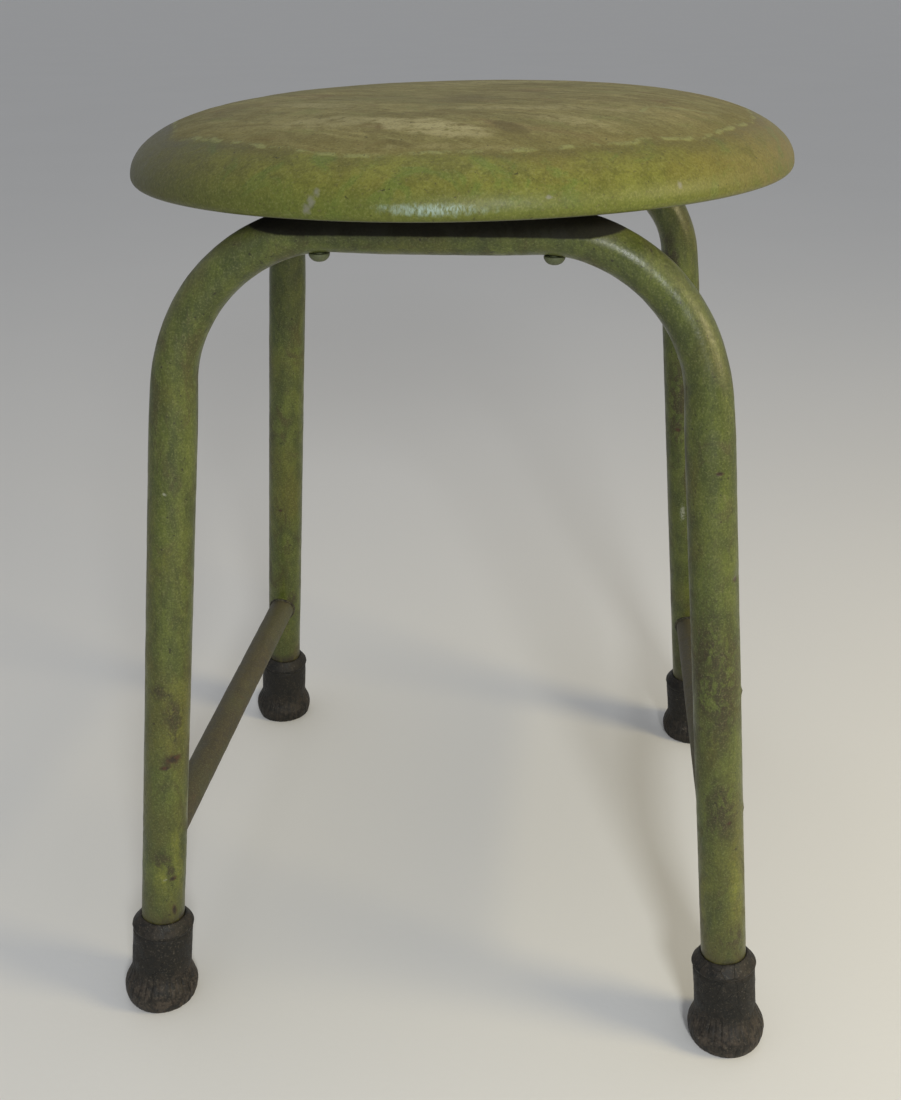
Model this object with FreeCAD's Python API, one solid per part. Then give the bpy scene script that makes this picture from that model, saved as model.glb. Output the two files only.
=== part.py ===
"""Fixed four-leg stool: a domed round wooden seat screwed to two bent steel tube hoops.

The two hoops make the four splayed legs. A thinner tube joins the front and rear leg on each
side, welded at both ends, and every leg stands in a ribbed rubber ferrule over a steel disc.
Millimetres, +Z up. The origin is on the floor under the centre of the seat. The front hoop is
at -Y. Left and right are mirror images; the rear hoop has tighter bends than the front one.
"""
import FreeCAD
import Part
import math
import os

from FreeCAD import Vector

UP = Vector(0, 0, 1)
SIDES_X = {"left": -1, "right": 1}
SIDES_Y = {"front": -1, "rear": 1}

# Hoops: one bent tube each, centre-line dimensions
TUBE_R = 12.5
TUBE_WALL = 1.5
BEND_R = {-1: 87.0, 1: 65.0}   # front hoop, rear hoop
HOOP_TOP_Z = 452.0
HOOP_OFFSET_Y = 119.5
HOOP_HALF_WIDTH = 126.6      # from the middle plane to where leg line and top line cross
LEG_SPLAY = math.radians(5.35)
HOOP_LEAN = math.radians(5.4)
TUBE_END_Z = 9.0             # height of the axis point where each leg tube ends

# Seat: a turned board, flat below, domed above in one sweep that turns down to the edge.
# The dome's half section is a superellipse: (r / SEAT_R)^4 + (h / SEAT_DOME_H)^2 = 1.
SEAT_R = 180.0
SEAT_BOTTOM_Z = HOOP_TOP_Z + TUBE_R
SEAT_ARRIS_R = 4.0           # rounded lower edge, up to where the dome starts
SEAT_DOME_H = 35.7
SEAT_FLAT_R = 60.0           # worn flat in the middle of the dome

# Side braces
BRACE_R = 9.0
BRACE_WALL = 1.2
BRACE_Z = 106.0
WELD_LEG_T = 2.4             # how far a weld bead spreads along the brace
WELD_BRACE_T = 2.0           # how far it spreads over the leg

# Round-head wood screws, from below, through both tube walls into the seat
SCREW_X = 57.0
SCREW_R = 2.5
SCREW_HOLE_R = 2.8
SCREW_GRIP = 20.0            # length inside the seat
SCREW_TIP = 5.0
SCREW_HEAD_R = 5.2
SCREW_HEAD_H = 4.0
SCREW_RIM = 0.8
SLOT_W = 1.2
SLOT_DEPTH = 1.4

# Rubber ferrules, measured along the leg axis from the floor
FOOT_TOP = 57.5
FOOT_RIM_R = 13.5            # thin top edge against the tube
FOOT_LIP_R = 17.6
FOOT_BEVEL_H = 6.5
FOOT_BODY_R = 17.3
FOOT_BODY_TOP = 47.0
FOOT_FLARE_START = 23.0
FOOT_FLARE_R = 21.6
FOOT_FLARE_H = 9.0
FOOT_SOLE_R = 13.0
FOOT_SOLE_BELOW = 3.5        # worn away below the floor plane
FLUTES = 32
FLUTE_W = 1.3
FLUTE_DEPTH = 0.6
TREAD_R = (9.0, 11.5)
TREAD_DEPTH = 1.5
DISC_T = 2.0


def leg_direction(side_x, side_y):
    """Unit vector up the leg axis, from the floor towards the seat."""
    lean = math.cos(LEG_SPLAY)
    return Vector(
        -side_x * math.sin(LEG_SPLAY),
        -side_y * lean * math.sin(HOOP_LEAN),
        lean * math.cos(HOOP_LEAN),
    )


def leg_point(side_x, side_y, z):
    """Point of the leg axis at height z."""
    drop = (HOOP_TOP_Z - z) / math.cos(HOOP_LEAN)
    return Vector(
        side_x * (HOOP_HALF_WIDTH + drop * math.tan(LEG_SPLAY)),
        side_y * (HOOP_OFFSET_Y + drop * math.sin(HOOP_LEAN)),
        z,
    )


def hoop_point(side_y, across, drop):
    """Point of the leaning hoop plane: across the seat, and down from the top run."""
    return Vector(
        across,
        side_y * (HOOP_OFFSET_Y + drop * math.sin(HOOP_LEAN)),
        HOOP_TOP_Z - drop * math.cos(HOOP_LEAN),
    )


def hoop_path(side_y):
    """Centre line: leg, bend, top run, bend, leg."""
    turn = math.pi / 2 - LEG_SPLAY
    bend_r = BEND_R[side_y]
    run = HOOP_HALF_WIDTH - bend_r * math.tan(turn / 2)

    def bend(side_x, angle):
        across = side_x * (run + bend_r * math.sin(angle))
        return hoop_point(side_y, across, bend_r * (1 - math.cos(angle)))

    def leg(side_x):
        return Part.makeLine(leg_point(side_x, side_y, TUBE_END_Z), bend(side_x, turn))

    def arc(side_x):
        points = [bend(side_x, angle) for angle in (turn, turn / 2, 0)]
        return Part.Arc(*points).toShape()

    top = Part.makeLine(bend(-1, 0), bend(1, 0))
    return Part.Wire(Part.__sortEdges__([leg(-1), arc(-1), top, arc(1), leg(1)]))


def swept(path, start, direction, radius):
    circle = Part.Wire(Part.makeCircle(radius, start, direction))
    return path.makePipeShell([circle], True, False)


def screw_places(side_y):
    return [Vector(x, side_y * HOOP_OFFSET_Y, HOOP_TOP_Z) for x in (-SCREW_X, SCREW_X)]


def hoop(side_y):
    """Bent tube with open ends and a hole through both walls for each seat screw."""
    path = hoop_path(side_y)
    start = leg_point(-1, side_y, TUBE_END_Z)
    direction = leg_direction(-1, side_y)
    outer = swept(path, start, direction, TUBE_R)
    inner = swept(path, start, direction, TUBE_R - TUBE_WALL)
    holes = []
    for place in screw_places(side_y):
        holes.append(Part.makeCylinder(SCREW_HOLE_R, 4 * TUBE_R, place - 2 * TUBE_R * UP, UP))
    return outer.cut([inner] + holes)


def leg_blank(side_x, side_y, radius):
    """Solid cylinder along a leg, used to cope a brace or to size a weld bead."""
    return Part.makeCylinder(
        radius, 160, leg_point(side_x, side_y, BRACE_Z - 80), leg_direction(side_x, side_y)
    )


def brace_end(side_x, side_y):
    return leg_point(side_x, side_y, BRACE_Z)


def brace(side_x):
    """Straight tube between the front and rear leg, coped to both of them."""
    front = brace_end(side_x, -1)
    rear = brace_end(side_x, 1)
    length = (rear - front).Length
    outer = Part.makeCylinder(BRACE_R, length, front, rear - front)
    inner = Part.makeCylinder(BRACE_R - BRACE_WALL, length, front, rear - front)
    legs = [leg_blank(side_x, side_y, TUBE_R) for side_y in SIDES_Y.values()]
    return outer.cut([inner] + legs)


def weld(side_x, side_y):
    """Bead round one end of a brace, following the saddle where it meets the leg."""
    end = brace_end(side_x, side_y)
    inward = Vector(0, -side_y, 0)
    collar = Part.makeCylinder(BRACE_R + WELD_BRACE_T, 3 * TUBE_R, end, inward)
    near_leg = leg_blank(side_x, side_y, TUBE_R + WELD_LEG_T)
    bead = collar.common(near_leg)
    return bead.cut([
        leg_blank(side_x, side_y, TUBE_R),
        Part.makeCylinder(BRACE_R, 4 * TUBE_R, end, inward),
    ])


def dome_point(radius):
    """Point of the seat's upper surface in the XZ plane."""
    rise = SEAT_DOME_H * math.sqrt(1 - (radius / SEAT_R) ** 4)
    return Vector(radius, 0, SEAT_BOTTOM_Z + SEAT_ARRIS_R + rise)


def seat_profile():
    """Half section of the seat in the XZ plane, closed on the axis."""
    stations = 14
    dome = []
    for index in range(stations + 1):
        share = math.sin(math.pi / 2 * index / stations)
        dome.append(dome_point(SEAT_FLAT_R + (SEAT_R - SEAT_FLAT_R) * share))
    sweep = Part.BSplineCurve()
    sweep.interpolate(dome)
    corner = SEAT_ARRIS_R * (1 - math.sqrt(0.5))
    arris_mid = Vector(SEAT_R - corner, 0, SEAT_BOTTOM_Z + corner)
    arris_foot = Vector(SEAT_R - SEAT_ARRIS_R, 0, SEAT_BOTTOM_Z)
    axis_bottom = Vector(0, 0, SEAT_BOTTOM_Z)
    axis_top = Vector(0, 0, dome[0].z)
    return Part.Wire([
        Part.makeLine(axis_top, dome[0]),
        sweep.toShape(),
        Part.Arc(dome[-1], arris_mid, arris_foot).toShape(),
        Part.makeLine(arris_foot, axis_bottom),
        Part.makeLine(axis_bottom, axis_top),
    ])


def screw_shank(place):
    """Shank from the head's bearing face to the point, as it also cuts its pilot hole."""
    bearing = place - TUBE_R * UP
    straight = 2 * TUBE_R + SCREW_GRIP - SCREW_TIP
    shank = Part.makeCylinder(SCREW_R, straight, bearing, UP)
    point = Part.makeCone(SCREW_R, 0.6, SCREW_TIP, bearing + straight * UP, UP)
    return shank.fuse(point).removeSplitter()


def seat():
    board = Part.Face(seat_profile()).revolve(Vector(0, 0, 0), UP, 360)
    pilots = []
    for side_y in SIDES_Y.values():
        pilots += [screw_shank(place) for place in screw_places(side_y)]
    return board.cut(pilots)


def screw(place):
    """Round-head slotted wood screw, head down against the underside of the tube."""
    bearing = place - TUBE_R * UP
    rim = bearing + Vector(SCREW_HEAD_R, 0, -SCREW_RIM)
    crown = bearing - SCREW_HEAD_H * UP
    bulge = bearing + Vector(SCREW_HEAD_R * 0.74, 0, -SCREW_RIM - (SCREW_HEAD_H - SCREW_RIM) * 0.67)
    section = Part.Wire([
        Part.makeLine(bearing, bearing + Vector(SCREW_HEAD_R, 0, 0)),
        Part.makeLine(bearing + Vector(SCREW_HEAD_R, 0, 0), rim),
        Part.Arc(rim, bulge, crown).toShape(),
        Part.makeLine(crown, bearing),
    ])
    head = Part.Face(section).revolve(bearing, UP, 360)
    corner = crown - Vector(SCREW_HEAD_R + 1, SLOT_W / 2, 1)
    slot = Part.makeBox(2 * SCREW_HEAD_R + 2, SLOT_W, SLOT_DEPTH + 1, corner)
    return head.cut(slot).fuse(screw_shank(place)).removeSplitter()


def along_leg(shape, side_x, side_y):
    """Carry a shape from the local Z axis to a leg axis, local origin on the floor."""
    turn = FreeCAD.Rotation(UP, leg_direction(side_x, side_y))
    placed = shape.copy()
    placed.Placement = FreeCAD.Placement(leg_point(side_x, side_y, 0), turn)
    return placed


def tube_end_height():
    """Distance from the floor point of a leg axis to the end of its tube."""
    return TUBE_END_Z / leg_direction(1, 1).z


def section_point(radius, height):
    return Vector(radius, 0, height)


def flare_outline(shift=0.0):
    """Arcs from the straight body down round the flare to the sole, moved out by shift."""
    start = section_point(FOOT_BODY_R + shift, FOOT_FLARE_START)
    hollow = section_point(
        (FOOT_BODY_R * 2 + FOOT_FLARE_R) / 3 + shift, (FOOT_FLARE_START + FOOT_FLARE_H) / 2
    )
    flare = section_point(FOOT_FLARE_R + shift, FOOT_FLARE_H)
    heel = section_point(FOOT_FLARE_R - 1.4 + shift, FOOT_FLARE_H / 3)
    sole = section_point(FOOT_SOLE_R + shift, -FOOT_SOLE_BELOW)
    return [Part.Arc(start, hollow, flare).toShape(), Part.Arc(flare, heel, sole).toShape()]


def foot_section():
    """Half section of a ferrule: bevelled rim, straight body, flare and sole, with the socket."""
    disc_bottom = tube_end_height() - DISC_T
    corners = [
        section_point(FOOT_SOLE_R, -FOOT_SOLE_BELOW),
        section_point(0, -FOOT_SOLE_BELOW),
        section_point(0, disc_bottom),
        section_point(TUBE_R, disc_bottom),
        section_point(TUBE_R, FOOT_TOP),
        section_point(FOOT_RIM_R, FOOT_TOP),
        section_point(FOOT_LIP_R, FOOT_TOP - FOOT_BEVEL_H),
        section_point(FOOT_BODY_R, FOOT_BODY_TOP),
        section_point(FOOT_BODY_R, FOOT_FLARE_START),
    ]
    return Part.Wire(flare_outline() + Part.makePolygon(corners).Edges)


def foot_flutes():
    """Shallow upright grooves round the flare, of even depth."""
    outer = flare_outline(FLUTE_DEPTH)
    inner = flare_outline(-FLUTE_DEPTH)
    ends = [
        Part.makeLine(outer[0].Vertexes[0].Point, inner[0].Vertexes[0].Point),
        Part.makeLine(outer[1].Vertexes[-1].Point, inner[1].Vertexes[-1].Point),
    ]
    section = Part.Wire(Part.__sortEdges__(outer + inner + ends))
    band = Part.Face(section).revolve(Vector(0, 0, 0), UP, 360)
    blades = []
    for index in range(FLUTES):
        corner = Vector(FOOT_SOLE_R - 3, -FLUTE_W / 2, -FOOT_SOLE_BELOW - 1)
        blade = Part.makeBox(FOOT_FLARE_R, FLUTE_W, FOOT_TOP, corner)
        blade.rotate(Vector(0, 0, 0), UP, 360 * index / FLUTES)
        blades.append(blade)
    return band.common(blades)


def foot(side_x, side_y):
    """Ferrule on the leg axis, cut flat where it stands, with a tread groove in the sole."""
    ferrule = Part.Face(foot_section()).revolve(Vector(0, 0, 0), UP, 360)
    ferrule = along_leg(ferrule.cut(foot_flutes()), side_x, side_y)
    centre = leg_point(side_x, side_y, 0)
    half = 2 * FOOT_FLARE_R
    below = Part.makeBox(2 * half, 2 * half, half, centre - Vector(half, half, half))
    tread_in, tread_out = (Part.makeCylinder(r, TREAD_DEPTH, centre, UP) for r in TREAD_R)
    return ferrule.cut([below, tread_out.cut(tread_in)])


def foot_disc(side_x, side_y):
    """Steel disc between the end of the tube and the bottom of the socket."""
    base = Vector(0, 0, tube_end_height() - DISC_T)
    return along_leg(Part.makeCylinder(TUBE_R, DISC_T, base, UP), side_x, side_y)


def build():
    nodes = {"seat_board": seat()}
    screws = []
    for name_y, side_y in SIDES_Y.items():
        nodes[name_y + "_hoop"] = hoop(side_y)
        screws += [screw(place) for place in screw_places(side_y)]
    nodes["seat_screws"] = Part.makeCompound(screws)
    for name_x, side_x in SIDES_X.items():
        nodes[name_x + "_brace"] = brace(side_x)
        for name_y, side_y in SIDES_Y.items():
            corner = "_".join((name_y, name_x))
            nodes["weld_" + corner] = weld(side_x, side_y)
            nodes["rubber_foot_" + corner] = foot(side_x, side_y)
            nodes["foot_disc_" + corner] = foot_disc(side_x, side_y)
    return nodes


os.makedirs("parts", exist_ok=True)
for name, shape in build().items():
    shape.exportStep("parts/" + name + ".step")
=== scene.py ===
"""Studio scene of an old four-leg stool: painted wooden seat, bent tube hoops, rubber feet.

The finer pieces stand for the CAD nodes and keep their places and sizes. Metres, +Z up.
"""
import math

import bpy
from mathutils import Matrix, Vector, noise


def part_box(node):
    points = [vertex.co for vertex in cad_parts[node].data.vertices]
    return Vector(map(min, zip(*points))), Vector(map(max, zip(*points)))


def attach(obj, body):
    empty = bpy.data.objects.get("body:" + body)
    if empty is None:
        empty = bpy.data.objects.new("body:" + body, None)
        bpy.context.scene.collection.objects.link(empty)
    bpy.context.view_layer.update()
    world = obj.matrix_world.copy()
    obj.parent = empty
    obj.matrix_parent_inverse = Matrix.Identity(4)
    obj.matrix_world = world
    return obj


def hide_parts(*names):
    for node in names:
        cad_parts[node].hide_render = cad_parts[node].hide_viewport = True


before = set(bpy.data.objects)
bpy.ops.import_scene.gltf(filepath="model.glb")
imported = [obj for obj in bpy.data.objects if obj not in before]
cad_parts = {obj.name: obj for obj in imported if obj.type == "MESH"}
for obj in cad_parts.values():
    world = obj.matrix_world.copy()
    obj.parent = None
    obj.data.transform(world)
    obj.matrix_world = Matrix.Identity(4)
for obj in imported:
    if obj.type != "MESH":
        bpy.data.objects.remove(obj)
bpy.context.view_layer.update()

MM = 0.001
FRONT_REAR = {"front": -1, "rear": 1}
LEFT_RIGHT = {"left": -1, "right": 1}

# Hoop and brace dimensions, as in the CAD model
TUBE_R = 12.5 * MM
BRACE_R = 9.0 * MM
BEND_R = {-1: 87.0 * MM, 1: 65.0 * MM}    # front hoop, rear hoop
HOOP_HALF_WIDTH = 126.6 * MM
HOOP_OFFSET_Y = 119.5 * MM
LEG_SPLAY = math.radians(5.35)
HOOP_LEAN = math.radians(5.4)
TUBE_END_Z = 9.0 * MM
BRACE_Z = 106.0 * MM
SEAT_LO, SEAT_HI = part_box("seat_board")
HOOP_TOP_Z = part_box("front_hoop")[1].z - TUBE_R
HOOP_TURN = math.pi / 2 - LEG_SPLAY

# Small departures of the real tubes from the CAD's round ones
BEND_FLAT_IN = 1.3 * MM      # how far a bend's inner side is pressed in
BEND_FLAT_OUT = 1.4 * MM     # and its outer side
BEND_SWELL = 0.5 * MM        # how far the bend widens sideways for it
BEND_EASE = 25.0 * MM        # length over which the flattening fades
COPE_OVERLAP = 0.3 * MM      # how far a brace reaches into a leg's surface
BEAD_R = 1.3 * MM            # thickness of a weld bead

# Seat profile, the same superellipse as the CAD model
SEAT_R = (SEAT_HI.x - SEAT_LO.x) / 2
SEAT_ARRIS = 4.0 * MM
SEAT_DOME_H = 35.7 * MM
SEAT_FLAT_R = 60.0 * MM
SEAT_RIDGE_R = 156.0 * MM    # where the worn top meets the cleaner shoulder
SEAT_TILT = 0.0135

# Ferrule profile, radius and height along the leg
FOOT_BODY_R = 17.4 * MM
FOOT_BODY_TOP = 47.5 * MM
FOOT_FLARE_START = 23.5 * MM
FOOT_FLARE_R = 21.6 * MM
FOOT_FLARE_H = 9.0 * MM
FOOT_FLUTES = 32


# ---------------------------------------------------------------- geometry helpers

def smooth(edge_a, edge_b, value):
    """0 at edge_a, 1 at edge_b, eased between."""
    share = (value - edge_a) / (edge_b - edge_a)
    share = min(max(share, 0.0), 1.0)
    return share * share * (3 - 2 * share)


def grain(point, size, seed=0.0):
    """Smooth noise from -1 to 1 whose bumps are about size across."""
    return noise.noise(point / size + Vector((seed, seed * 1.7, -seed)))


def fine_grain(point, size, seed=0.0):
    """Rougher noise of several sizes, the largest about size across."""
    return noise.fractal(point / size + Vector((seed, -seed, seed * 0.6)), 0.6, 2.1, 4)


def make_piece(name, vertices, faces, uvs, material, *nodes):
    """A smooth mesh with a UV in metres, riding on the one body and standing for CAD nodes."""
    mesh = bpy.data.meshes.new(name)
    mesh.from_pydata([tuple(v) for v in vertices], [], faces)
    layer = mesh.uv_layers.new(name="metres")
    for loop in mesh.loops:
        layer.data[loop.index].uv = uvs[loop.vertex_index]
    mesh.polygons.foreach_set("use_smooth", [True] * len(mesh.polygons))
    mesh.materials.append(material)
    mesh.update()
    piece = bpy.data.objects.new(name, mesh)
    bpy.context.scene.collection.objects.link(piece)
    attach(piece, "root")
    if nodes:
        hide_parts(*nodes)
    return piece


def skin(rings, closed=False):
    """Quads over a list of equal rings of indices, wrapped round, capped at open ends."""
    count = len(rings[0])
    faces = []
    pairs = list(zip(rings[:-1], rings[1:]))
    if closed:
        pairs.append((rings[-1], rings[0]))
    for lower, upper in pairs:
        for i in range(count):
            j = (i + 1) % count
            faces.append((lower[i], lower[j], upper[j], upper[i]))
    if not closed:
        faces.append(tuple(reversed(rings[0])))
        faces.append(tuple(rings[-1]))
    return faces


def ring_piece(name, rings, uvs, material, *nodes, closed=False):
    """A piece from a list of rings of points."""
    count = len(rings[0])
    vertices = [point for ring in rings for point in ring]
    flat_uvs = [uv for ring in uvs for uv in ring]
    index = [[row * count + i for i in range(count)] for row in range(len(rings))]
    return make_piece(name, vertices, skin(index, closed), flat_uvs, material, *nodes)


# ---------------------------------------------------------------- frame lines

def leg_axis(side_x, side_y):
    """Floor point of a leg's axis and the unit vector up the leg."""
    lean = math.cos(LEG_SPLAY)
    up = Vector((
        -side_x * math.sin(LEG_SPLAY),
        -side_y * lean * math.sin(HOOP_LEAN),
        lean * math.cos(HOOP_LEAN),
    ))
    drop = HOOP_TOP_Z / math.cos(HOOP_LEAN)
    foot = Vector((
        side_x * (HOOP_HALF_WIDTH + drop * math.tan(LEG_SPLAY)),
        side_y * (HOOP_OFFSET_Y + drop * math.sin(HOOP_LEAN)),
        0.0,
    ))
    return foot, up


def leg_point(side_x, side_y, z):
    """Point on a leg's axis at a height above the floor."""
    foot, up = leg_axis(side_x, side_y)
    return foot + up * (z / up.z)


def leg_surface(side_x, side_y, z, turn):
    """Point on a leg's surface, turn degrees round from facing -Y towards +X."""
    facing = Vector((math.sin(math.radians(turn)), -math.cos(math.radians(turn)), 0))
    return leg_point(side_x, side_y, z) + facing * TUBE_R


def hoop_stations(bend_r, step):
    """(across, drop, tangent across, tangent drop, bend share, way) along a hoop."""
    run_length = HOOP_HALF_WIDTH - bend_r * math.tan(HOOP_TURN / 2)
    end_drop = (HOOP_TOP_Z - TUBE_END_Z) / math.cos(HOOP_LEAN)
    bend_drop = bend_r * (1 - math.cos(HOOP_TURN))
    leg_length = (end_drop - bend_drop) / math.cos(LEG_SPLAY)
    bend_end = run_length + bend_r * HOOP_TURN
    half = []
    total = bend_end + leg_length
    count = round(total / step)
    for i in range(count + 1):
        at = total * i / count
        if at <= run_length:
            half.append((at, 0.0, 1.0, 0.0, at))
        elif at <= bend_end:
            turned = (at - run_length) / bend_r
            across = run_length + bend_r * math.sin(turned)
            drop = bend_r * (1 - math.cos(turned))
            half.append((across, drop, math.cos(turned), math.sin(turned), at))
        else:
            beyond = at - bend_end
            across = run_length + bend_r * math.sin(HOOP_TURN) + beyond * math.sin(LEG_SPLAY)
            drop = bend_drop + beyond * math.cos(LEG_SPLAY)
            half.append((across, drop, math.sin(LEG_SPLAY), math.cos(LEG_SPLAY), at))
    stations = []
    for side in (-1, 1):
        row = half if side > 0 else half[:0:-1]
        for across, drop, run, fall, at in row:
            share = smooth(run_length - BEND_EASE, run_length + BEND_EASE, at)
            share *= 1 - smooth(bend_end - BEND_EASE, bend_end + BEND_EASE, at)
            stations.append((side * across, drop, run, side * fall, share, side * at))
    return stations


# ---------------------------------------------------------------- pieces

def build_hoop(name, side_y, material, dents):
    """Bent tube: a little flattened in its bends, with lumpy brushed paint and small dents.

    Each dent is (point, reach, depth in mm). A negative depth is a lump.
    """
    down = Vector((0, side_y * math.sin(HOOP_LEAN), -math.cos(HOOP_LEAN)))
    across_axis = Vector((1, 0, 0))
    normal = across_axis.cross(down)
    origin = Vector((0, side_y * HOOP_OFFSET_Y, HOOP_TOP_Z))
    around = 72
    rings, uvs = [], []
    for across, drop, run, fall, bend, at in hoop_stations(BEND_R[side_y], 2.4 * MM):
        centre = origin + across_axis * across + down * drop
        inward = down * run - across_axis * fall
        ring, ring_uv = [], []
        for i in range(around):
            angle = 2 * math.pi * i / around
            inner = math.sin(angle)
            flat = (BEND_FLAT_IN if inner > 0 else BEND_FLAT_OUT) * bend
            radial = normal * math.cos(angle) * (TUBE_R + BEND_SWELL * bend)
            radial += inward * inner * (TUBE_R - flat)
            point = centre + radial
            lump = 0.10 * grain(point, 7 * MM, 3.1) + 0.14 * grain(point, 26 * MM, 8.4)
            lump += 0.045 * grain(point, 2.2 * MM, 5.0)
            for place, size, depth in dents:
                lump -= depth * math.exp(-((point - place).length / size) ** 2)
            ring.append(point + radial.normalized() * lump * MM)
            ring_uv.append((angle * TUBE_R, at))
        rings.append(ring)
        uvs.append(ring_uv)
    return ring_piece(name, rings, uvs, material, name + "_hoop")


def coped_y(side_x, side_y, x, z, grow=0.0):
    """Y of the leg's surface, facing the middle of the stool, at a given x and z."""
    foot, up = leg_axis(side_x, side_y)
    base = Vector((x, 0, z)) - foot
    # |(base + y) - ((base + y).up) up| = radius, solved for y
    a = 1 - up.y * up.y
    dot = base.dot(up)
    b = 2 * (base.y - dot * up.y)
    c = base.length_squared - dot * dot - (TUBE_R + grow) ** 2
    root = math.sqrt(max(b * b - 4 * a * c, 0.0))
    near, far = (-b - root) / (2 * a), (-b + root) / (2 * a)
    return max(near, far) if side_y < 0 else min(near, far)


def build_brace(name_x, side_x, material):
    """Thin straight tube, coped to both legs, with a few shallow dings."""
    centre_x = leg_point(side_x, 1, BRACE_Z).x
    around, along = 56, 130
    rings, uvs = [], []
    for row in range(along + 1):
        share = row / along
        ring, ring_uv = [], []
        for i in range(around):
            angle = 2 * math.pi * i / around
            outward = Vector((math.cos(angle), 0, math.sin(angle)))
            x = centre_x + BRACE_R * outward.x
            z = BRACE_Z + BRACE_R * outward.z
            y_front = coped_y(side_x, -1, x, z, -COPE_OVERLAP)
            y_rear = coped_y(side_x, 1, x, z, -COPE_OVERLAP)
            point = Vector((x, y_front + (y_rear - y_front) * share, z))
            lump = 0.10 * grain(point, 9 * MM, 12.0) + 0.05 * grain(point, 2.4 * MM, 2.0)
            lump -= 0.5 * smooth(0.45, 0.8, grain(point, 17 * MM, 31.0))
            ring.append(point + outward * lump * MM)
            ring_uv.append((angle * BRACE_R, point.y))
        rings.append(ring)
        uvs.append(ring_uv)
    return ring_piece(name_x + "_brace_tube", rings, uvs, material, name_x + "_brace")


def build_weld(name_x, side_x, name_y, side_y, material):
    """Lumpy bead along the saddle between a brace and its leg."""
    centre_x = leg_point(side_x, side_y, BRACE_Z).x
    along, around = 132, 12
    rings, uvs = [], []
    seed = side_x * 2.0 + side_y * 5.0
    for i in range(along):
        angle = 2 * math.pi * i / along
        outward = Vector((math.cos(angle), 0, math.sin(angle)))
        x = centre_x + BRACE_R * outward.x
        z = BRACE_Z + BRACE_R * outward.z
        centre = Vector((x, coped_y(side_x, side_y, x, z), z))
        ripple = 1 + 0.10 * math.sin(angle * 17 + seed) + 0.22 * grain(centre, 5 * MM, seed)
        size = BEAD_R * ripple
        inward = Vector((0, -side_y, 0))
        ring, ring_uv = [], []
        for k in range(around):
            turn = 2 * math.pi * k / around
            point = centre + (outward * math.cos(turn) + inward * math.sin(turn)) * size
            ring.append(point)
            ring_uv.append((turn * size, angle * BRACE_R))
        rings.append(ring)
        uvs.append(ring_uv)
    corner = name_y + "_" + name_x
    return ring_piece("bead_" + corner, rings, uvs, material, "weld_" + corner, closed=True)


def dome_height(radius):
    """Height of the seat's upper surface above its underside."""
    share = max(radius, SEAT_FLAT_R) / SEAT_R
    return SEAT_ARRIS + SEAT_DOME_H * math.sqrt(max(1 - share ** 4, 0.0))


def seat_outline():
    """(radius, height above the underside) from the middle below, round the edge, to the top."""
    outline = []
    for i in range(1, 21):
        outline.append(((SEAT_R - SEAT_ARRIS) * i / 20, 0.0))
    for i in range(1, 8):
        angle = math.pi / 2 * i / 7
        radius = SEAT_R - SEAT_ARRIS * (1 - math.sin(angle))
        outline.append((radius, SEAT_ARRIS * (1 - math.cos(angle))))
    angle, radius = 0.0, SEAT_R
    while radius > SEAT_FLAT_R:
        sideways = SEAT_R * math.sin(angle) / (2 * math.sqrt(math.cos(angle)))
        angle += 1.6 * MM / math.hypot(sideways, SEAT_DOME_H * math.cos(angle))
        radius = SEAT_R * math.sqrt(math.cos(angle))
        outline.append((radius, dome_height(radius)))
    for i in range(1, 24):
        outline.append((radius * (1 - i / 24), dome_height(0.0)))
    return outline


def build_seat(material):
    """Turned board, its upper side slightly uneven, the whole tilted a little."""
    around = 480
    rings, uvs = [], []
    for radius, height in seat_outline():
        ring, ring_uv = [], []
        for i in range(around):
            angle = 2 * math.pi * i / around
            outward = Vector((math.cos(angle), math.sin(angle), 0))
            point = outward * radius + Vector((0, 0, SEAT_LO.z + height))
            if height > SEAT_ARRIS:
                lump = 0.24 * grain(point, 42 * MM, 1.0) + 0.10 * grain(point, 11 * MM, 6.0)
                lump += 0.05 * fine_grain(point, 5 * MM, 9.0)
                lift = (outward * 0.5 + Vector((0, 0, 0.85))).normalized()
                point += lift * lump * MM
            point.z += SEAT_TILT * point.x
            ring.append(point)
            ring_uv.append((point.x, point.y))
        rings.append(ring)
        uvs.append(ring_uv)
    return ring_piece("seat", rings, uvs, material, "seat_board")


def foot_outline():
    """(radius, height) up a ferrule: sole, flare, body, lip, bevel, then down inside."""
    outline = [(4 * MM, -3.5 * MM), (9 * MM, -3.5 * MM), (13 * MM, -3.5 * MM)]
    sole_r = 15.0 * MM
    for i in range(17):
        angle = math.pi / 2 * i / 16
        radius = sole_r + (FOOT_FLARE_R - sole_r) * math.sin(angle)
        outline.append((radius, FOOT_FLARE_H - 12.5 * MM * math.cos(angle)))
    for i in range(1, 25):
        share = i / 24
        fall = (0.5 + 0.5 * math.cos(math.pi * share)) ** 1.1
        radius = FOOT_BODY_R + (FOOT_FLARE_R - FOOT_BODY_R) * fall
        outline.append((radius, FOOT_FLARE_H + (FOOT_FLARE_START - FOOT_FLARE_H) * share))
    for i in range(1, 15):
        rise = (FOOT_BODY_TOP - FOOT_FLARE_START) * i / 14
        outline.append((FOOT_BODY_R, FOOT_FLARE_START + rise))
    lip = [(17.0, 48.2), (16.9, 48.8), (17.3, 49.5), (17.8, 50.2), (18.0, 51.0), (17.8, 51.7)]
    bevel = [(17.3, 52.3), (16.4, 53.4), (15.5, 54.5), (14.7, 55.6), (14.0, 56.6), (13.4, 57.3)]
    socket = [(12.9, 57.5), (12.6, 57.3), (12.5, 56.8), (12.5, 53.0)]
    for radius, height in lip + bevel + socket:
        outline.append((radius * MM, height * MM))
    return outline


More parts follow.
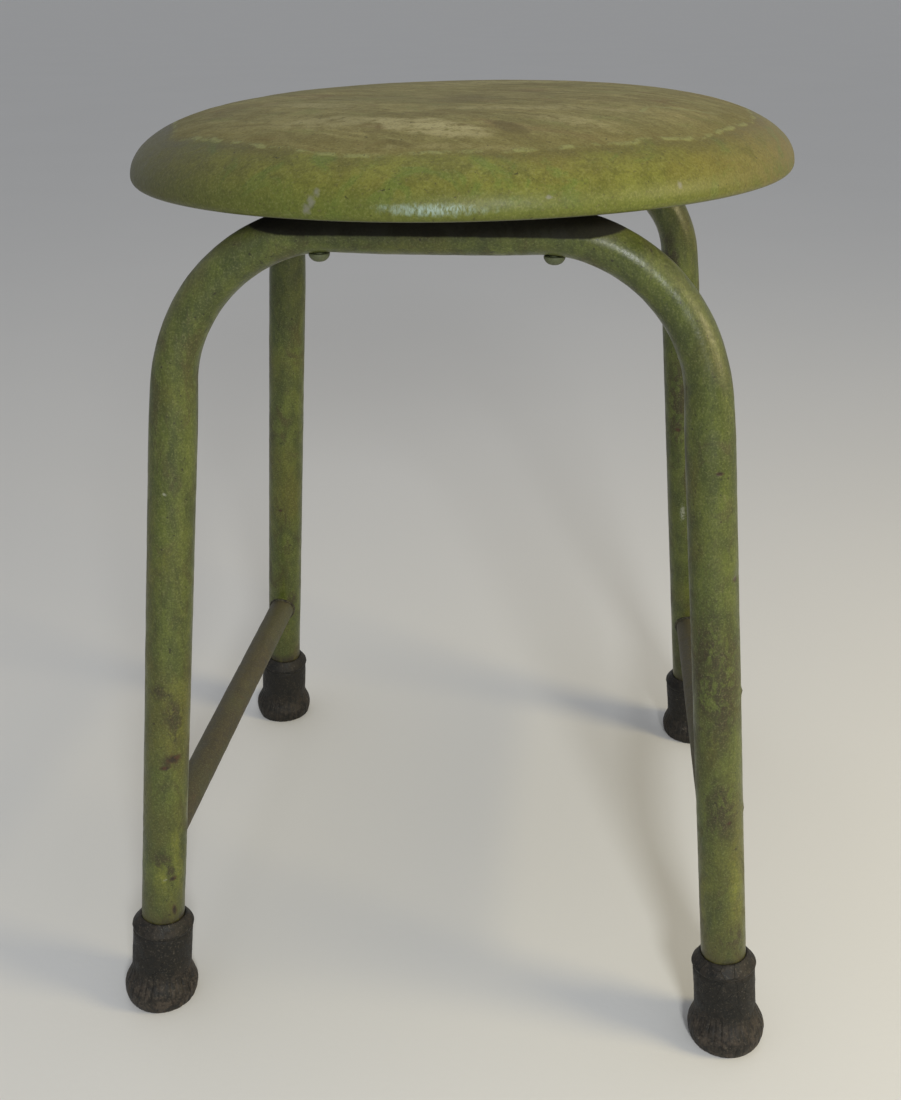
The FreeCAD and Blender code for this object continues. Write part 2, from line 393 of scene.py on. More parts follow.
def build_foot(name_x, side_x, name_y, side_y, material):
    """Ferrule with worn flutes round the flare, cut flat on the floor."""
    foot, up = leg_axis(side_x, side_y)
    turn = Vector((0, 0, 1)).rotation_difference(up)
    seed = 7.0 * side_x + 3.0 * side_y
    around = 320
    rings, uvs = [], []
    for radius, height in foot_outline():
        ring, ring_uv = [], []
        for i in range(around):
            angle = 2 * math.pi * i / around
            outward = Vector((math.cos(angle), math.sin(angle), 0))
            local = outward * radius + Vector((0, 0, height))
            flute = max(math.cos(angle * FOOT_FLUTES), 0.0) ** 2
            flute *= smooth(-1 * MM, 5 * MM, height) * (1 - smooth(17 * MM, 27 * MM, height))
            flute *= 0.35 + 0.65 * smooth(-0.5, 0.4, grain(local, 14 * MM, seed))
            lump = -0.6 * flute + 0.16 * grain(local, 6 * MM, seed + 2)
            lump += 0.30 * grain(local, 19 * MM, seed + 5) + 0.10 * fine_grain(local, 2.6 * MM, seed)
            inside = 1.0 if radius > 13.6 * MM and height > 0 else 0.15
            local += outward * lump * inside * MM
            point = foot + turn @ local
            point.z = max(point.z, 0.0)
            ring.append(point)
            ring_uv.append((angle * FOOT_BODY_R, height))
        rings.append(ring)
        uvs.append(ring_uv)
    corner = name_y + "_" + name_x
    return ring_piece("ferrule_" + corner, rings, uvs, material, "rubber_foot_" + corner)


# ---------------------------------------------------------------- material helpers

class Graph:
    """Short names for the nodes of one material. Sizes are in metres on the object."""

    def __init__(self, name):
        self.material = bpy.data.materials.new(name)
        self.material.use_nodes = True
        self.tree = self.material.node_tree
        self.shader = self.tree.nodes["Principled BSDF"]
        coordinates = self.tree.nodes.new("ShaderNodeTexCoord")
        self.place = coordinates.outputs["Object"]

    def join(self, socket, value):
        """Links a socket to an input, or sets the input to a number, a vector or a colour."""
        if isinstance(value, bpy.types.NodeSocket):
            self.tree.links.new(value, socket)
        elif isinstance(value, tuple) and socket.type == "RGBA":
            socket.default_value = (*value, 1.0)
        else:
            socket.default_value = value

    def math(self, operation, a, b=0.0, clamp=False):
        """One math node on numbers or sockets."""
        node = self.tree.nodes.new("ShaderNodeMath")
        node.operation = operation
        node.use_clamp = clamp
        self.join(node.inputs[0], a)
        self.join(node.inputs[1], b)
        return node.outputs[0]

    def times(self, a, b):
        return self.math("MULTIPLY", a, b)

    def stretched(self, vector, scale):
        node = self.tree.nodes.new("ShaderNodeVectorMath")
        node.operation = "MULTIPLY"
        self.join(node.inputs[0], vector)
        node.inputs[1].default_value = scale
        return node.outputs[0]

    def length(self, vector):
        node = self.tree.nodes.new("ShaderNodeVectorMath")
        node.operation = "LENGTH"
        self.join(node.inputs[0], vector)
        return node.outputs["Value"]

    def turned(self, vector, angle):
        """The vector turned about Z, the angle in radians."""
        node = self.tree.nodes.new("ShaderNodeVectorRotate")
        node.rotation_type = "Z_AXIS"
        self.join(node.inputs["Vector"], vector)
        node.inputs["Angle"].default_value = angle
        return node.outputs[0]

    def noise(self, size, detail=4.0, roughness=0.55, vector=None, stretch=None, warp=0.0):
        """Noise from 0 to 1 with features about size across, longer where stretch is below 1."""
        vector = self.place if vector is None else vector
        if stretch is not None:
            vector = self.stretched(vector, stretch)
        node = self.tree.nodes.new("ShaderNodeTexNoise")
        self.join(node.inputs["Vector"], vector)
        node.inputs["Scale"].default_value = 1 / size
        node.inputs["Detail"].default_value = detail
        node.inputs["Roughness"].default_value = roughness
        node.inputs["Distortion"].default_value = warp
        return node.outputs["Fac"]

    def cracks(self, size):
        """Distance to the nearest cell edge, 0 on the edge."""
        node = self.tree.nodes.new("ShaderNodeTexVoronoi")
        node.feature = "DISTANCE_TO_EDGE"
        self.join(node.inputs["Vector"], self.place)
        node.inputs["Scale"].default_value = 1 / size
        return node.outputs["Distance"]

    def mask(self, value, low, high, amount=1.0):
        """0 below low, amount above high, eased between. High may be below low."""
        node = self.tree.nodes.new("ShaderNodeMapRange")
        node.interpolation_type = "SMOOTHSTEP"
        self.join(node.inputs["Value"], value)
        node.inputs["From Min"].default_value = min(low, high)
        node.inputs["From Max"].default_value = max(low, high)
        node.inputs["To Min"].default_value = 0.0 if low < high else amount
        node.inputs["To Max"].default_value = amount if low < high else 0.0
        return node.outputs["Result"]

    def mix(self, share, a, b):
        node = self.tree.nodes.new("ShaderNodeMix")
        node.data_type = "RGBA"
        self.join(node.inputs["Factor"], share)
        self.join(node.inputs[6], a)
        self.join(node.inputs[7], b)
        return node.outputs[2]

    def blend(self, share, a, b):
        """As mix, for plain numbers."""
        node = self.tree.nodes.new("ShaderNodeMix")
        self.join(node.inputs["Factor"], share)
        self.join(node.inputs[2], a)
        self.join(node.inputs[3], b)
        return node.outputs[0]

    def part(self, vector, axis):
        """One of X, Y and Z."""
        node = self.tree.nodes.new("ShaderNodeSeparateXYZ")
        self.join(node.inputs[0], vector)
        return node.outputs[axis]

    def facing_up(self):
        """1 where the surface faces up, -1 where it faces down."""
        geometry = self.tree.nodes.new("ShaderNodeNewGeometry")
        return self.part(geometry.outputs["Normal"], "Z")

    def spots(self, places, ragged=0.35, soft=0.5, crumb=4 * MM):
        """Ragged marks, each (point, half lengths along X, Y, Z, degrees turned about Z)."""
        breakup = self.times(self.noise(crumb, 3.0), 2 * ragged)
        total = None
        for point, size, turn in places:
            shift = self.tree.nodes.new("ShaderNodeVectorMath")
            shift.operation = "SUBTRACT"
            self.join(shift.inputs[0], self.place)
            shift.inputs[1].default_value = point
            own_axes = self.turned(shift.outputs[0], -math.radians(turn))
            in_sizes = self.stretched(own_axes, tuple(1 / s for s in size))
            reach = self.math("ADD", self.length(in_sizes), breakup)
            one = self.mask(reach, 1.0 + ragged, 1.0 + ragged - soft)
            total = one if total is None else self.math("MAXIMUM", total, one)
        return total

    def gritty(self, colour, amount, size=1.0 * MM):
        """Colour broken up by fine dark and light grit."""
        grit = self.noise(size, 3.0, 0.7)
        colour = self.mix(self.mask(grit, 0.50, 0.36, amount), colour, GRIT_DARK)
        return self.mix(self.mask(grit, 0.52, 0.66, amount * 0.7), colour, GRIT_LIGHT)

    def finish(self, colour, roughness, height, depth):
        """Connects colour, roughness and a bump of the given depth."""
        bump = self.tree.nodes.new("ShaderNodeBump")
        bump.inputs["Distance"].default_value = depth
        self.join(bump.inputs["Height"], height)
        self.join(self.shader.inputs["Base Color"], colour)
        self.join(self.shader.inputs["Roughness"], roughness)
        self.tree.links.new(bump.outputs["Normal"], self.shader.inputs["Normal"])
        return self.material


# ---------------------------------------------------------------- materials

GREEN_LIGHT = (0.098, 0.119, 0.020)
GREEN_FRESH = (0.160, 0.172, 0.022)
GREEN_DEEP = (0.045, 0.058, 0.012)
OCHRE = (0.120, 0.104, 0.016)
BROWN = (0.050, 0.036, 0.013)
STAIN = (0.036, 0.026, 0.010)
DARK_SPECK = (0.016, 0.012, 0.006)
RUST = (0.052, 0.022, 0.009)
DUST = (0.140, 0.124, 0.066)
# pale chips, and a painted glint in one dent
CHALK_AND_GLINT = (0.250, 0.260, 0.190)
# near black, the colour of the seat's painted shadow on the hoops' top runs
RIM_DIRT = (0.026, 0.019, 0.011)
SEAT_SHADOW_DARK = (0.006, 0.005, 0.003)
GRIT_DARK = (0.012, 0.010, 0.005)
GRIT_LIGHT = (0.330, 0.320, 0.150)

# Painted shadow of the overhanging seat on the hoops' top runs: a near-black band between the tube
# and the seat's edge
SEAT_SHADOW_FROM = 124.0 * MM       # distance from the middle where the overhang starts to count
SEAT_SHADOW_SLOPE = 0.36
SEAT_SHADOW_DEPTH = 14.6 * MM

# Heights of the dirt low on a leg
GRIME_TOP_Z = 95.0 * MM
GRIME_FULL_Z = 52.0 * MM
RIM_DIRT_TOP_Z = 64.0 * MM
RIM_DIRT_FULL_Z = 57.0 * MM


def leg_mark(side_x, side_y, z, turn, size):
    """A mark on a leg for spots(), placed as leg_surface says. Half lengths in mm."""
    point = leg_surface(side_x, side_y, z, turn)
    return tuple(point), tuple(s * MM for s in size), 0.0


def seat_shadow_band(g, height, mottle):
    """Painted shadow of the round seat: a near-black band on the top run where the seat overhangs
    it, thinning to both ends.
    """
    across = g.part(g.place, "X")
    overhang = g.math("SUBTRACT", SEAT_R ** 2, g.times(across, across))
    overhang = g.math("SQRT", g.math("MAXIMUM", overhang, 0.0))
    depth = g.times(g.math("SUBTRACT", overhang, SEAT_SHADOW_FROM), SEAT_SHADOW_SLOPE)
    depth = g.math("MINIMUM", depth, SEAT_SHADOW_DEPTH)
    edge = g.math("SUBTRACT", SEAT_LO.z, depth)
    edge = g.math("ADD", edge, g.times(g.math("SUBTRACT", mottle, 0.5), 1.2 * MM))
    return g.mask(g.math("SUBTRACT", height, edge), -0.4 * MM, 0.8 * MM, 0.94)


def tube_paint(name, brown_share, dust_share, marks):
    """Old brushed gloss paint: green and brown mottling, specks, rust spots and dust, with the
    seat's shadow painted near black on the top run.
    """
    g = Graph(name)
    tall = (1.0, 1.0, 0.45)
    broad = g.noise(34 * MM, 3.0, stretch=tall)
    mottle = g.noise(10 * MM, 7.0, 0.66, stretch=tall, warp=0.4)
    fine = g.noise(1.7 * MM, 4.0, 0.6)
    brush = g.noise(0.9 * MM, 3.0, 0.5, stretch=(1.0, 1.0, 0.05))
    stain = g.noise(17 * MM, 8.0, 0.72, stretch=(1.0, 1.0, 0.6), warp=1.2)
    colour = g.mix(g.mask(mottle, 0.34, 0.66), GREEN_DEEP, GREEN_LIGHT)
    colour = g.mix(g.mask(broad, 0.46, 0.72, 0.6), colour, OCHRE)
    colour = g.mix(g.mask(stain, 0.50, 0.66, brown_share), colour, BROWN)
    fresh = g.times(g.spots(marks["fresh"], 0.5, 0.8, 9 * MM), g.mask(mottle, 0.34, 0.60, 0.85))
    colour = g.mix(fresh, colour, GREEN_FRESH)
    clots = g.noise(5 * MM, 6.0, 0.7, stretch=(1.0, 1.0, 0.6), warp=1.0)
    stained = g.times(g.spots(marks["stain"], 0.5, 0.8, 6 * MM), g.mask(clots, 0.58, 0.47, 0.95))
    colour = g.mix(stained, colour, STAIN)
    colour = g.mix(g.mask(fine, 0.36, 0.66, 0.45), colour, GREEN_DEEP)
    colour = g.gritty(colour, 0.26)
    height_on_leg = g.part(g.place, "Z")
    low_grime = g.mask(height_on_leg, GRIME_TOP_Z, GRIME_FULL_Z, 0.6)
    low_grime = g.times(low_grime, g.mask(mottle, 0.35, 0.6))
    colour = g.mix(low_grime, colour, BROWN)
    at_rubber = g.mask(height_on_leg, RIM_DIRT_TOP_Z, RIM_DIRT_FULL_Z, 0.9)
    at_rubber = g.times(at_rubber, g.mask(mottle, 0.62, 0.40))
    colour = g.mix(at_rubber, colour, RIM_DIRT)
    specks = g.mask(g.noise(2.4 * MM, 2.0, 0.4), 0.69, 0.75, 0.75)
    colour = g.mix(specks, colour, DARK_SPECK)
    rust = g.spots(marks["rust"], 0.55, 0.8, 2.6 * MM)
    colour = g.mix(g.times(rust, 0.95), colour, RUST)
    core = g.times(rust, g.mask(g.noise(2.6 * MM, 3.0), 0.45, 0.53))
    colour = g.mix(core, colour, DARK_SPECK)
    # pale chips; the one in the front-left dent is also a painted glint
    chalk_and_glint = g.times(g.spots(marks["chalk_and_glint"], 0.7, 0.8, 1.3 * MM), g.mask(fine, 0.66, 0.45, 0.85))
    colour = g.mix(chalk_and_glint, colour, CHALK_AND_GLINT)
    dust = g.times(g.mask(g.facing_up(), -0.1, 0.9, dust_share), g.mask(broad, 0.25, 0.6))
    colour = g.mix(dust, colour, DUST)
    # painted shadow: the seat's shadow on the top run, darkened to near black
    painted_seat_shadow = seat_shadow_band(g, height_on_leg, mottle)
    colour = g.mix(painted_seat_shadow, colour, SEAT_SHADOW_DARK)
    rough = g.blend(g.mask(stain, 0.42, 0.64), 0.32, 0.52)
    rough = g.math("ADD", rough, g.times(dust, 0.6), clamp=True)
    rough = g.math("ADD", rough, g.times(painted_seat_shadow, 0.6), clamp=True)
    relief = g.math("ADD", g.times(mottle, 0.6), g.times(fine, 0.25))
    relief = g.math("ADD", relief, g.times(brush, 0.22))
    relief = g.math("SUBTRACT", relief, g.times(rust, 0.35))
    g.shader.inputs["Specular IOR Level"].default_value = 0.42
    return g.finish(colour, rough, relief, 0.45 * MM)


def brace_paint():
    """Thin old paint under grey-brown dust, with olive and reddish patches."""
    g = Graph("brace_paint")
    broad = g.noise(30 * MM, 4.0, 0.6, stretch=(1.0, 0.4, 1.0))
    mottle = g.noise(7 * MM, 7.0, 0.68, warp=0.8)
    fine = g.noise(1.4 * MM, 4.0, 0.6)
    colour = g.mix(g.mask(mottle, 0.35, 0.65), (0.036, 0.029, 0.012), (0.070, 0.058, 0.025))
    colour = g.mix(g.mask(broad, 0.50, 0.68, 0.7), colour, (0.064, 0.068, 0.024))
    red = g.times(g.mask(g.noise(15 * MM, 5.0, 0.7), 0.60, 0.70), g.mask(mottle, 0.42, 0.58, 0.7))
    colour = g.mix(red, colour, (0.070, 0.032, 0.018))
    colour = g.mix(g.mask(g.noise(2.2 * MM, 2.0), 0.68, 0.74, 0.7), colour, DARK_SPECK)
    dust = g.mask(g.facing_up(), 0.0, 0.9, 0.34)
    colour = g.mix(dust, colour, (0.102, 0.086, 0.046))
    scars = [((-0.166, -0.086, 0.108), (9 * MM, 11 * MM, 7 * MM), 0.0)]
    scars += [((-0.165, -0.004, 0.108), (9 * MM, 6 * MM, 7 * MM), 0.0)]
    scarred = g.times(g.spots(scars, 0.6, 0.8, 4 * MM), g.mask(mottle, 0.36, 0.56, 0.8))
    colour = g.mix(scarred, colour, (0.092, 0.052, 0.026))
    colour = g.gritty(colour, 0.22)
    rough = g.blend(g.mask(mottle, 0.3, 0.7), 0.52, 0.72)
    relief = g.math("ADD", g.times(mottle, 0.7), g.times(fine, 0.3))
    return g.finish(colour, rough, relief, 0.4 * MM)


def weld_paint():
    """Paint over a bead, mottled from near black with dirt to dark olive."""
    g = Graph("weld_paint")
    mottle = g.noise(3 * MM, 5.0, 0.65)
    colour = g.mix(g.mask(mottle, 0.4, 0.62), (0.014, 0.011, 0.006), (0.052, 0.046, 0.018))
    rough = g.blend(g.mask(mottle, 0.4, 0.6), 0.75, 0.5)
    return g.finish(colour, rough, mottle, 0.4 * MM)


def seat_mark(x, y, half_x, half_y, turn=0.0):
    """A mark on the seat's top seen from above, in mm and degrees."""
    return (x * MM, y * MM, SEAT_HI.z), (half_x * MM, half_y * MM, 1.0), turn


def seat_patches(g, colour, mottle):
    """Wear on the top: a pale leaf-shaped patch, dark lenses beside it and dull dark areas."""
    dull = [seat_mark(8, -48, 24, 40), seat_mark(0, -102, 28, 12), seat_mark(-118, -50, 14, 32)]
    dull_share = g.times(g.spots(dull, 0.5, 0.9, 12 * MM), 0.45)
    colour = g.mix(dull_share, colour, (0.116, 0.086, 0.028))
    broken = g.mask(mottle, 0.68, 0.40, 0.92)
    faint = [seat_mark(-48, -112, 44, 15, -16), seat_mark(66, -112, 30, 11, -16)]
    faint += [seat_mark(45, -84, 62, 9, 4), seat_mark(10, -152, 58, 3.5, 0)]
    faint += [seat_mark(-70, -60, 42, 12, -34), seat_mark(20, 60, 70, 22, 12)]
    faint_share = g.times(g.spots(faint, 0.5, 0.7, 9 * MM), g.times(broken, 0.75))
    colour = g.mix(faint_share, colour, (0.320, 0.285, 0.128))
    leaf = g.spots([seat_mark(-2, -127, 36, 14, -24)], 0.35, 0.35, 8 * MM)
    colour = g.mix(g.times(leaf, broken), colour, (0.345, 0.306, 0.144))
    core = g.spots([seat_mark(8, -131, 24, 9, -24)], 0.35, 0.5, 6 * MM)
    colour = g.mix(g.times(core, broken), colour, (0.370, 0.330, 0.160))
    lenses = [seat_mark(36, -128, 15, 6.5, -50), seat_mark(-12, -149, 10, 3, -30)]
    colour = g.mix(g.times(g.spots(lenses, 0.25, 0.35), 0.70), colour, (0.110, 0.088, 0.028))
    lines = [seat_mark(116, -60, 23, 1.8, 12), seat_mark(97, -74, 1.6, 12, -14)]
    line_share = g.times(g.spots(lines, 0.35, 0.4, 5 * MM), 0.55)
    return g.mix(line_share, colour, (0.255, 0.265, 0.105))


def seat_top(g, streak, broad, mottle, swirl):
    """Dirty worn paint of the dome, brushed across and worn pale in patches."""
    top = g.mix(g.mask(streak, 0.36, 0.64), (0.180, 0.155, 0.049), (0.272, 0.240, 0.087))
    top = g.mix(g.mask(broad, 0.42, 0.62, 0.5), top, (0.180, 0.168, 0.058))
    top = g.mix(g.mask(mottle, 0.40, 0.66, 0.50), top, (0.134, 0.104, 0.034))
    hair = g.noise(3.2 * MM, 5.0, 0.66, vector=swirl, stretch=(0.22, 1.2, 1.0), warp=0.5)
    top = g.mix(g.mask(hair, 0.52, 0.64, 0.42), top, (0.118, 0.096, 0.032))
    top = g.mix(g.mask(hair, 0.46, 0.34, 0.34), top, (0.330, 0.300, 0.130))
    tint = g.noise(24 * MM, 5.0, 0.65, vector=swirl, stretch=(0.5, 1.2, 1.0), warp=1.2)
    top = g.mix(g.mask(tint, 0.56, 0.68, 0.40), top, (0.170, 0.108, 0.044))
    top = g.mix(g.mask(tint, 0.44, 0.34, 0.35), top, (0.180, 0.196, 0.060))
    return seat_patches(g, top, mottle)


def seat_shoulder(g, reach, height, broad, mottle):
    """Yellow-green paint of the shoulder, darker to the left as painted shade, and browner to the
    right.
    """
    shoulder = g.mix(g.mask(mottle, 0.35, 0.65), (0.114, 0.112, 0.018), (0.178, 0.178, 0.030))
    shoulder = g.mix(g.mask(broad, 0.45, 0.65, 0.5), shoulder, (0.150, 0.120, 0.022))
    green = g.mask(g.noise(30 * MM, 5.0, 0.62, warp=0.8), 0.54, 0.64, 0.55)
    shoulder = g.mix(green, shoulder, (0.108, 0.160, 0.026))
    below = g.mask(height, SEAT_LO.z + 20 * MM, SEAT_LO.z + 5 * MM, 0.7)
    shoulder = g.mix(below, shoulder, (0.094, 0.118, 0.018))
    under_ridge = g.mask(reach, SEAT_RIDGE_R + 12 * MM, SEAT_RIDGE_R + 3 * MM, 0.55)
    under_ridge = g.times(under_ridge, g.mask(broad, 0.35, 0.60))
    shoulder = g.mix(under_ridge, shoulder, (0.098, 0.080, 0.018))
    # painted shade: the shoulder's left end, turned away from the light, darkened
    shaded_left_end = g.mask(g.part(g.place, "X"), -40 * MM, -165 * MM, 0.75)
    shoulder = g.mix(shaded_left_end, shoulder, (0.062, 0.054, 0.020))
    right_end = g.mask(g.part(g.place, "X"), 110 * MM, 170 * MM, 0.55)
    right_end = g.times(right_end, g.mask(mottle, 0.3, 0.6))
    return g.mix(right_end, shoulder, (0.170, 0.118, 0.048))


def seat_scrapes_and_sheen(g, colour):
    """Pale scrapes on the shoulder, and at its front a painted highlight: a broad bluish-white sheen
    broken into brush streaks.
    """
    scrapes = [
        ((-0.0500, -0.1725, 0.4690), (2.8 * MM, 5 * MM, 3.6 * MM), 0.0),
        ((-0.0478, -0.1730, 0.4725), (2.8 * MM, 5 * MM, 3.6 * MM), 0.0),
        ((-0.0455, -0.1735, 0.4765), (2.4 * MM, 5 * MM, 3.2 * MM), 0.0),
        ((0.0554, -0.1699, 0.4748), (2.2 * MM, 3 * MM, 1.2 * MM), 0.0),
        ((0.1124, -0.1390, 0.4757), (2.0 * MM, 2 * MM, 2.4 * MM), 0.0),
    ]
    scrape = g.times(g.spots(scrapes, 0.5, 0.8, 2 * MM), 0.75)
    colour = g.mix(scrape, colour, (0.190, 0.185, 0.140))
    hairs = g.noise(1.6 * MM, 3.0, stretch=(1.0, 1.0, 0.35), warp=1.5)
    # painted highlight: the sheen of the front light on the shoulder's lower edge, in brush streaks
    sheen_places = [((0.006, -0.1790, 0.4705), (31 * MM, 9 * MM, 3.6 * MM), 0.0)]
    painted_sheen = g.times(g.spots(sheen_places, 0.5, 0.9, 3 * MM), g.mask(hairs, 0.30, 0.62, 0.72))
    return g.mix(painted_sheen, colour, (0.330, 0.430, 0.390))


def seat_paint():
    """Brushed paint on wood: dirty worn dome, yellow-green shoulder with painted shade to its left
    and a painted sheen at its front, and a worn ridge whose pale line is also a painted highlight.
    """
    g = Graph("seat_paint")
    from_middle = g.length(g.stretched(g.place, (1.0, 1.0, 0.0)))
    wander = g.times(g.math("SUBTRACT", g.noise(70 * MM, 1.0), 0.5), 22 * MM)
    ragged = g.times(g.math("SUBTRACT", g.noise(9 * MM, 4.0, 0.6), 0.5), 5 * MM)
    reach = g.math("ADD", from_middle, g.math("ADD", wander, ragged))
    on_shoulder = g.mask(reach, SEAT_RIDGE_R - 3 * MM, SEAT_RIDGE_R + 5 * MM)
    height = g.part(g.place, "Z")

    swirl = g.turned(g.place, math.radians(28))
    streak = g.noise(16 * MM, 6.0, 0.6, vector=swirl, stretch=(0.30, 1.3, 1.0), warp=0.8)
    broad = g.noise(75 * MM, 3.0, 0.5, warp=1.0)
    mottle = g.noise(8 * MM, 7.0, 0.68, warp=0.5)
    fine = g.noise(1.5 * MM, 4.0, 0.62)
    near_ridge = g.mask(reach, SEAT_RIDGE_R - 22 * MM, SEAT_RIDGE_R - 4 * MM, 0.45)
    top = g.mix(near_ridge, seat_top(g, streak, broad, mottle, swirl), (0.140, 0.118, 0.030))
    colour = g.mix(on_shoulder, top, seat_shoulder(g, reach, height, broad, mottle))

    # pale line on the ridge: worn paint, and a painted highlight where the convex ridge catches the
    # light
    ridge_wear_and_highlight = g.times(
        g.mask(reach, SEAT_RIDGE_R - 1.5 * MM, SEAT_RIDGE_R + 0.5 * MM),
        g.mask(reach, SEAT_RIDGE_R + 3.0 * MM, SEAT_RIDGE_R + 1.2 * MM),
    )
    ridge_wear_and_highlight = g.times(ridge_wear_and_highlight, g.mask(g.noise(12 * MM, 5.0, 0.65), 0.44, 0.56, 0.65))
    colour = g.mix(ridge_wear_and_highlight, colour, (0.260, 0.270, 0.095))
    colour = g.mix(g.mask(fine, 0.56, 0.70, 0.50), colour, (0.085, 0.072, 0.028))
    colour = g.mix(g.mask(g.noise(3 * MM, 2.0), 0.70, 0.76, 0.6), colour, DARK_SPECK)
    colour = seat_scrapes_and_sheen(g, g.gritty(colour, 0.22, 1.2 * MM))

    plain = g.mix(g.mask(streak, 0.36, 0.64), (0.052, 0.050, 0.020), (0.078, 0.076, 0.030))
    plain = g.mix(g.mask(mottle, 0.45, 0.65, 0.5), plain, (0.050, 0.040, 0.018))
    underside = g.mask(g.facing_up(), -0.80, -0.95)
    colour = g.mix(underside, colour, plain)

    rough = g.blend(on_shoulder, 0.66, 0.46)
    rough = g.math("ADD", rough, g.times(g.math("SUBTRACT", mottle, 0.5), 0.25), clamp=True)
    relief = g.math("ADD", g.times(streak, 0.4), g.times(mottle, 0.35))
    relief = g.math("ADD", relief, g.times(fine, 0.18))
    relief = g.math("ADD", relief, g.times(ridge_wear_and_highlight, 0.5))
    g.shader.inputs["Specular IOR Level"].default_value = 0.28
    return g.finish(colour, rough, relief, 0.5 * MM)


def rubber(name, dust_share):
    """Perished black rubber with brown dust on the flare and the rim."""
    g = Graph(name)
    height = g.part(g.place, "Z")
    mottle = g.noise(6 * MM, 7.0, 0.7, warp=0.6)
    fine = g.noise(1.1 * MM, 4.0, 0.6)
    colour = g.mix(g.mask(mottle, 0.35, 0.65), (0.004, 0.004, 0.003), (0.013, 0.011, 0.008))
    low = g.mask(height, 0.030, 0.010, dust_share)
    rim = g.mask(height, 0.048, 0.053, dust_share * 0.35)
    dust = g.times(g.math("MAXIMUM", low, rim), g.mask(mottle, 0.36, 0.62))
    colour = g.mix(dust, colour, (0.070, 0.054, 0.040))
    crumbs = g.mask(fine, 0.57, 0.66, 0.22 + 0.30 * dust_share)
    colour = g.mix(crumbs, colour, (0.120, 0.102, 0.078))
    clean = g.mask(g.noise(3.5 * MM, 6.0, 0.7), 0.50, 0.60, 0.7)
    colour = g.mix(clean, colour, (0.005, 0.004, 0.003))
    flakes = g.mask(g.noise(2.6 * MM, 3.0, 0.6, warp=1.0), 0.68, 0.73, 0.75)
    colour = g.mix(flakes, colour, (0.150, 0.132, 0.105))
    split = g.mask(g.cracks(7 * MM), 0.03, 0.0, 0.8)
    split = g.times(split, g.mask(g.noise(20 * MM), 0.5, 0.6))
    colour = g.mix(split, colour, (0.004, 0.004, 0.003))
    rough = g.blend(g.mask(mottle, 0.3, 0.7), 0.48, 0.76)
    relief = g.math("ADD", g.times(mottle, 0.7), g.times(fine, 0.3))
    relief = g.math("SUBTRACT", relief, g.times(split, 0.5))
    g.shader.inputs["Specular IOR Level"].default_value = 0.35
    return g.finish(colour, rough, relief, 0.6 * MM)


def old_steel(name, painted):
    """Tarnished steel with some of the frame's paint left on it."""
    g = Graph(name)
    mottle = g.noise(2.5 * MM, 5.0, 0.65)
    paint = g.mask(mottle, 0.60 - painted * 0.4, 0.68 - painted * 0.4)
    colour = g.mix(paint, (0.120, 0.108, 0.088), (0.080, 0.092, 0.040))
    g.join(g.shader.inputs["Metallic"], g.blend(paint, 0.85, 0.0))
    rough = g.blend(paint, 0.45, 0.55)
    return g.finish(colour, rough, mottle, 0.25 * MM)


def floor_material():
    """Plain pale floor, hardly uneven."""
    g = Graph("pale_floor")
    broad = g.noise(0.5, 3.0)
    colour = g.mix(broad, (0.680, 0.676, 0.662), (0.710, 0.706, 0.694))
    return g.finish(colour, g.blend(broad, 0.82, 0.90), g.noise(4 * MM, 4.0), 0.1 * MM)


# ---------------------------------------------------------------- build

def front_marks():
    """Where the front hoop's legs are rusty, stained, still fresh, or chipped white; one white chip,
    in a dent, is also a painted glint.
    """
    return {
        "rust": [
            leg_mark(-1, -1, 0.1660, 36, (5.5, 5.5, 3.8)),
            leg_mark(-1, -1, 0.1610, 14, (4, 4, 1.8)),
            leg_mark(-1, -1, 0.0870, 42, (3.4, 3.4, 2.2)),
            leg_mark(-1, -1, 0.0655, 48, (2, 2, 5)),
            leg_mark(1, -1, 0.1475, 19, (2, 2, 1.6)),
            leg_mark(1, -1, 0.2840, 55, (3, 3, 2)),
            leg_mark(1, -1, 0.3400, 15, (3, 3, 1.4)),
            leg_mark(1, -1, 0.2200, 78, (2, 2, 2)),
            leg_mark(1, -1, 0.1520, 78, (2, 2, 1.6)),
        ],
        "stain": [
            leg_mark(-1, -1, 0.2075, -8, (9, 9, 7)),
            leg_mark(-1, -1, 0.1900, 35, (9, 9, 24)),
            leg_mark(-1, -1, 0.1650, 25, (9, 9, 9)),
            leg_mark(-1, -1, 0.1010, 8, (8, 8, 9)),
            leg_mark(-1, -1, 0.0930, 35, (6, 6, 7)),
            leg_mark(1, -1, 0.2350, -28, (13, 13, 60)),
            leg_mark(1, -1, 0.2250, 15, (14, 14, 60)),
            leg_mark(1, -1, 0.1550, 0, (13, 13, 30)),
            leg_mark(1, -1, 0.0750, 20, (12, 12, 10)),
        ],
        "fresh": [
            leg_mark(-1, -1, 0.1000, 58, (7, 7, 32)),
            leg_mark(-1, -1, 0.0850, 12, (8, 8, 22)),
            leg_mark(1, -1, 0.1050, 40, (7, 7, 34)),
            leg_mark(1, -1, 0.0950, -60, (6, 6, 26)),
        ],
        "chalk_and_glint": [
            # pale scratch in the dent, also a painted glint of the light on the dent
            leg_mark(-1, -1, 0.0880, 20, (1.6, 1.6, 0.9)),
            leg_mark(-1, -1, 0.3200, 0, (1.5, 1.5, 1.2)),
        ],
    }


